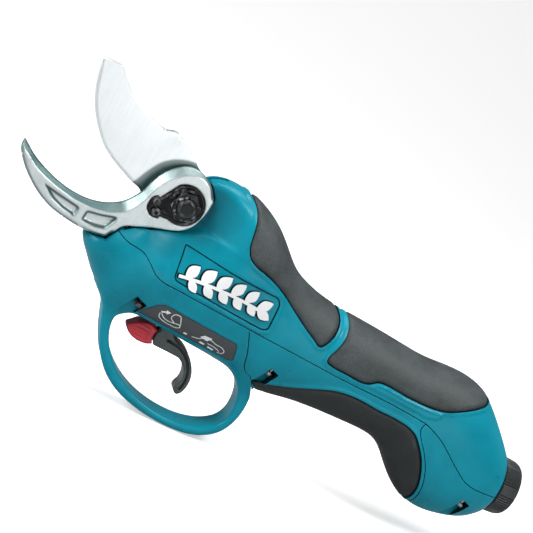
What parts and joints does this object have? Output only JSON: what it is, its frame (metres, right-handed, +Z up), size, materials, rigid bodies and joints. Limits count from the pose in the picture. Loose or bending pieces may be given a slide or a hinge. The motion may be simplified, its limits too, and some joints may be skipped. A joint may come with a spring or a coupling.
{
  "type": "battery electric pruner",
  "caption": "Hand-held powered pruning shear: curved fixed anvil hook, swinging bypass blade, trigger inside a guard loop, rubber-padded handle and a twist-ring cord socket at the tail.",
  "frame": {"origin": "centre of the pivot bolt's end face, on the blade pivot axis; the tool's middle plane is y = +0.0146 m", "axes": "+X back along the handle towards the cord socket, -X towards the blade tips, +Y through the tool away from the pivot nut, +Z up, with the trigger guard below"},
  "size_m": [0.3021, 0.0416, 0.1469],
  "materials": {
    "teal_plastic": "moulded body plastic, fine texture",
    "grip_rubber": "overmoulded grip, fine grain",
    "ground_steel": "ground and polished",
    "cast_steel": "forged, satin, ground edge",
    "black_steel": "black oxide",
    "bearing_steel": "bright machined",
    "dark_plastic": "moulded",
    "red_plastic": "moulded",
    "aluminium": "die cast",
    "brass": "turned",
    "circuit_board": "solder mask",
    "copper": "enamelled winding",
    "red_wire": "insulation",
    "black_wire": "insulation"
  },
  "bodies": {
    "housing": {"upper_housing": "teal_plastic", "guard_housing": "teal_plastic", "lower_housing": "teal_plastic", "rear_cover": "teal_plastic", "front_grip_pad": "grip_rubber", "rear_grip_pad": "grip_rubber", "lower_grip_pad": "grip_rubber", "housing_screw_1": "bearing_steel", "housing_screw_2": "bearing_steel", "housing_screw_3": "bearing_steel", "housing_screw_4": "bearing_steel", "housing_screw_5": "bearing_steel", "housing_screw_6": "bearing_steel", "anvil_blade": "cast_steel", "pivot_bolt": "black_steel", "pivot_nut": "black_steel", "lock_plate": "black_steel", "lock_plate_screw": "black_steel", "head_frame": "aluminium", "anvil_screw": "bearing_steel", "bearing_outer_race": "bearing_steel", "gear_case": "aluminium", "ring_gear": "bearing_steel", "motor_can": "black_steel", "stator_core": "bearing_steel", "stator_winding_front": "copper", "stator_winding_rear": "copper", "motor_bearing_front": "bearing_steel", "motor_bearing_rear": "bearing_steel", "motor_end_cap": "aluminium", "controller_board": "circuit_board", "cord_socket": "dark_plastic", "contact_pin_1": "brass", "contact_pin_2": "brass", "motor_cable": "red_wire", "power_lead_plus": "red_wire", "power_lead_minus": "black_wire", "trigger_cable": "black_wire", "trigger_bracket": "dark_plastic", "trigger_pin": "bearing_steel", "trigger_switch": "black_steel", "trigger_spring": "bearing_steel"},
    "blade": {"cutting_blade": "ground_steel", "blade_bush": "brass", "tail_pin": "bearing_steel"},
    "nut_carriage": {"drive_yoke": "aluminium", "ball_nut": "bearing_steel"},
    "screw_shaft": {"ball_screw": "bearing_steel", "bearing_inner_race": "bearing_steel", "planet_carrier": "bearing_steel"},
    "planet_1": {"planet_gear_1": "bearing_steel"},
    "planet_2": {"planet_gear_2": "bearing_steel"},
    "planet_3": {"planet_gear_3": "bearing_steel"},
    "rotor": {"sun_gear": "bearing_steel", "motor_rotor": "black_steel", "motor_shaft": "bearing_steel"},
    "trigger": {"trigger": "dark_plastic", "lock_lever_pin": "black_steel"},
    "lock_lever": {"lock_lever": "red_plastic"},
    "coupling_ring": {"coupling_ring": "dark_plastic"}
  },
  "joints": [
    {"name": "motor_spin", "type": "hinge", "parent": "housing", "child": "rotor", "pos_m": [-0.00326, 0.0146, -0.02479], "axis": [0.9914, 0, -0.1305], "range_deg": [0, 3700]},
    {"name": "screw_spin", "type": "hinge", "parent": "housing", "child": "screw_shaft", "pos_m": [-0.00326, 0.0146, -0.02479], "axis": [0.9914, 0, -0.1305], "range_deg": [0, 823]},
    {"name": "nut_slide", "type": "slide", "parent": "housing", "child": "nut_carriage", "axis": [0.9914, 0, -0.1305], "range_m": [0, 0.0183]},
    {"name": "blade_swing", "type": "hinge", "parent": "housing", "child": "blade", "pos_m": [0, 0.0146, 0], "axis": [0, -1, 0], "range_deg": [0, 43]},
    {"name": "planet_1_spin", "type": "hinge", "parent": "screw_shaft", "child": "planet_1", "pos_m": [-0.00326, 0.0227, -0.02479], "axis": [0.9914, 0, -0.1305], "range_deg": [-2303, 0]},
    {"name": "planet_2_spin", "type": "hinge", "parent": "screw_shaft", "child": "planet_2", "pos_m": [-0.00418, 0.01055, -0.03174], "axis": [0.9914, 0, -0.1305], "range_deg": [-2303, 0]},
    {"name": "planet_3_spin", "type": "hinge", "parent": "screw_shaft", "child": "planet_3", "pos_m": [-0.00235, 0.01055, -0.01783], "axis": [0.9914, 0, -0.1305], "range_deg": [-2303, 0]},
    {"name": "trigger_pull", "type": "hinge", "parent": "housing", "child": "trigger", "pos_m": [0.02, 0.0146, -0.0474], "axis": [0, -1, 0], "range_deg": [0, 14]},
    {"name": "lock_lever_tilt", "type": "hinge", "parent": "trigger", "child": "lock_lever", "pos_m": [0.025, 0.0146, -0.064], "axis": [0, 1, 0], "range_deg": [0, 8]},
    {"name": "coupling_ring_turn", "type": "hinge", "parent": "housing", "child": "coupling_ring", "pos_m": [0.2208, 0.0146, -0.0604], "axis": [1, 0, 0], "range_deg": [0, 90]}
  ],
  "couplings": [
    {"joint": "screw_spin", "follows": "motor_spin", "ratio": 0.22222},
    {"joint": "nut_slide", "follows": "motor_spin", "m_per_rad": 0.00028294},
    {"joint": "blade_swing", "follows": "motor_spin", "ratio": 0.011588},
    {"joint": "planet_1_spin", "follows": "motor_spin", "ratio": -0.62222},
    {"joint": "planet_2_spin", "follows": "motor_spin", "ratio": -0.62222},
    {"joint": "planet_3_spin", "follows": "motor_spin", "ratio": -0.62222}
  ]
}
